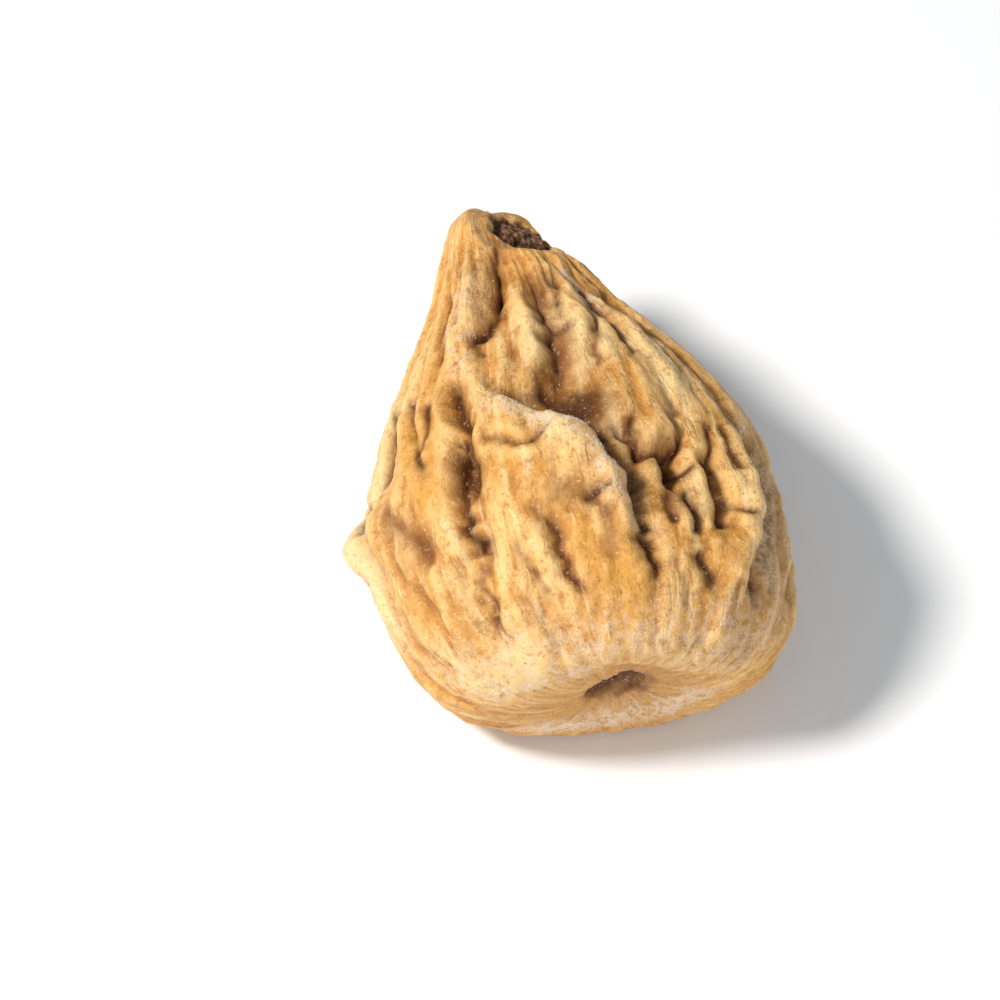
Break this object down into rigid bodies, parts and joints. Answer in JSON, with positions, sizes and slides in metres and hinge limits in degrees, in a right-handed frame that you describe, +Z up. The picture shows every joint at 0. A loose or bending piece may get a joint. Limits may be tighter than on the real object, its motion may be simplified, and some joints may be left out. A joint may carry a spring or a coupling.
{
  "type": "dried fig",
  "caption": "Whole dried fig lying on its flattened back: pear-shaped pleated fruit with a sunken eye at the blunt end and a dry stem scar at the tip of the neck.",
  "frame": {"origin": "middle of the fruit's bounding box, at the height of the flat patch it rests on", "axes": "+Y along the fruit from the eye to the stem, +Z up out of the side that faces up"},
  "size_m": [0.039, 0.0514, 0.0256],
  "materials": {
    "fig_skin": "waxy wrinkled fruit skin, golden tan with a pale sugar bloom"
  },
  "bodies": {
    "root": {"dried_fig": "fig_skin"}
  },
  "joints": []
}
